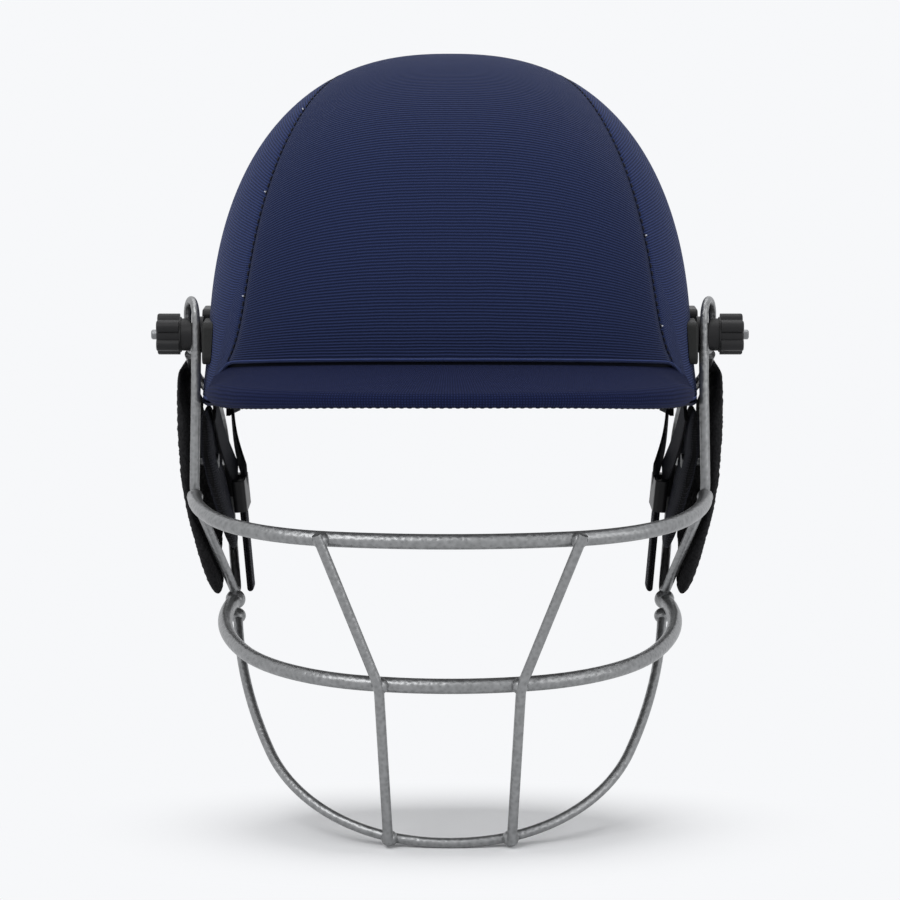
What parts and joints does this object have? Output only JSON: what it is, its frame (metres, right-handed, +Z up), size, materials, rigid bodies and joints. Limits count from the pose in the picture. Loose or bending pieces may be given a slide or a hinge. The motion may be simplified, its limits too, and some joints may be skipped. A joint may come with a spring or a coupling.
{
  "type": "cricket helmet",
  "caption": "Fabric-covered cricket helmet with a short padded peak and a welded wire face grille that tilts and slides on clamp screws, with ear pads and a chin strap.",
  "frame": {"origin": "bottom centre of the bounding box, under the grille's chin bar", "axes": "+Z up as worn, -Y out of the face opening, +X to the right as seen from the front"},
  "size_m": [0.2434, 0.2899, 0.309],
  "materials": {
    "cover_fabric": "matt fine rib knit over the shell",
    "shell_plastic": "moulded, matt",
    "edging_rubber": "matt",
    "liner_foam": "matt closed-cell foam",
    "pad_fabric": "brushed pile",
    "peak_board": "matt",
    "peak_lining_fabric": "matt weave",
    "block_plastic": "matt olive black",
    "knob_plastic": "satin",
    "clamp_steel": "zinc plated",
    "grille_coat": "hammered silver-grey powder coat",
    "ear_pile": "looped black pile",
    "ear_lining_fabric": "smooth matt",
    "webbing": "dense smooth weave",
    "slider_plastic": "satin"
  },
  "bodies": {
    "helmet": {"outer_shell": "shell_plastic", "cover_crown_panel": "cover_fabric", "rim_edging": "edging_rubber", "foam_liner": "liner_foam", "brow_pad": "pad_fabric", "rear_pad": "pad_fabric", "crown_pad": "pad_fabric", "peak_cover": "cover_fabric", "peak_core": "peak_board", "peak_lining": "peak_lining_fabric", "left_cover_side_panel": "cover_fabric", "right_cover_side_panel": "cover_fabric", "left_side_pad": "pad_fabric", "right_side_pad": "pad_fabric", "left_side_block": "block_plastic", "right_side_block": "block_plastic", "left_anchor_plate": "block_plastic", "right_anchor_plate": "block_plastic", "left_grille_screw": "clamp_steel", "right_grille_screw": "clamp_steel", "left_strap_front_tab": "webbing", "right_strap_front_tab": "webbing", "left_strap_rear_tab": "webbing", "right_strap_rear_tab": "webbing", "strap_rivets": "clamp_steel"},
    "grille_pivots": {"left_wedge_washer": "knob_plastic", "right_wedge_washer": "knob_plastic", "left_slot_bush": "knob_plastic", "right_slot_bush": "knob_plastic"},
    "grille": {"top_bar": "grille_coat", "middle_bar": "grille_coat", "chin_bar": "grille_coat", "weld_beads": "grille_coat", "ear_rivets": "clamp_steel", "left_upright": "grille_coat", "right_upright": "grille_coat", "left_side_frame": "grille_coat", "right_side_frame": "grille_coat", "left_stay_sleeve": "edging_rubber", "right_stay_sleeve": "edging_rubber", "left_ear_pad": "ear_pile", "right_ear_pad": "ear_pile", "left_ear_lining": "ear_lining_fabric", "right_ear_lining": "ear_lining_fabric"},
    "left_washer": {"left_washer": "clamp_steel"},
    "left_knob": {"left_knob": "knob_plastic", "left_knob_nut": "clamp_steel"},
    "left_strap": {"left_strap_front_web": "webbing", "left_strap_rear_web": "webbing", "left_strap_slider": "slider_plastic", "left_strap_tail": "webbing"},
    "right_washer": {"right_washer": "clamp_steel"},
    "right_knob": {"right_knob": "knob_plastic", "right_knob_nut": "clamp_steel"},
    "right_strap": {"right_strap_front_web": "webbing", "right_strap_rear_web": "webbing", "right_strap_slider": "slider_plastic", "right_strap_tail": "webbing"}
  },
  "joints": [
    {"name": "grille_tilt", "type": "hinge", "parent": "helmet", "child": "grille_pivots", "pos_m": [0, -0.03093, 0.1962], "axis": [1, 0, 0], "range_deg": [-15, 2]},
    {"name": "grille_height", "type": "slide", "parent": "grille_pivots", "child": "grille", "axis": [0, 0, 1], "range_m": [-0.0074, 0]},
    {"name": "left_washer_slide", "type": "slide", "parent": "helmet", "child": "left_washer", "axis": [-1, 0, 0], "range_m": [0, 0.0021]},
    {"name": "left_knob_turn", "type": "hinge", "parent": "left_washer", "child": "left_knob", "pos_m": [-0.11469, -0.03093, 0.1962], "axis": [-1, 0, 0], "range_deg": [0, 1080]},
    {"name": "left_strap_swing", "type": "hinge", "parent": "helmet", "child": "left_strap", "pos_m": [-0.09698, -0.01893, 0.1652], "axis": [-0.0472, -0.9837, 0.1736], "range_deg": [0, 25]},
    {"name": "right_washer_slide", "type": "slide", "parent": "helmet", "child": "right_washer", "axis": [1, 0, 0], "range_m": [0, 0.0021]},
    {"name": "right_knob_turn", "type": "hinge", "parent": "right_washer", "child": "right_knob", "pos_m": [0.11469, -0.03093, 0.1962], "axis": [1, 0, 0], "range_deg": [0, 1080]},
    {"name": "right_strap_swing", "type": "hinge", "parent": "helmet", "child": "right_strap", "pos_m": [0.09698, -0.01893, 0.1652], "axis": [-0.0472, 0.9837, -0.1736], "range_deg": [0, 25]}
  ],
  "couplings": [
    {"joint": "left_washer_slide", "follows": "left_knob_turn", "m_per_rad": 0.00011141},
    {"joint": "right_washer_slide", "follows": "right_knob_turn", "m_per_rad": 0.00011141}
  ]
}
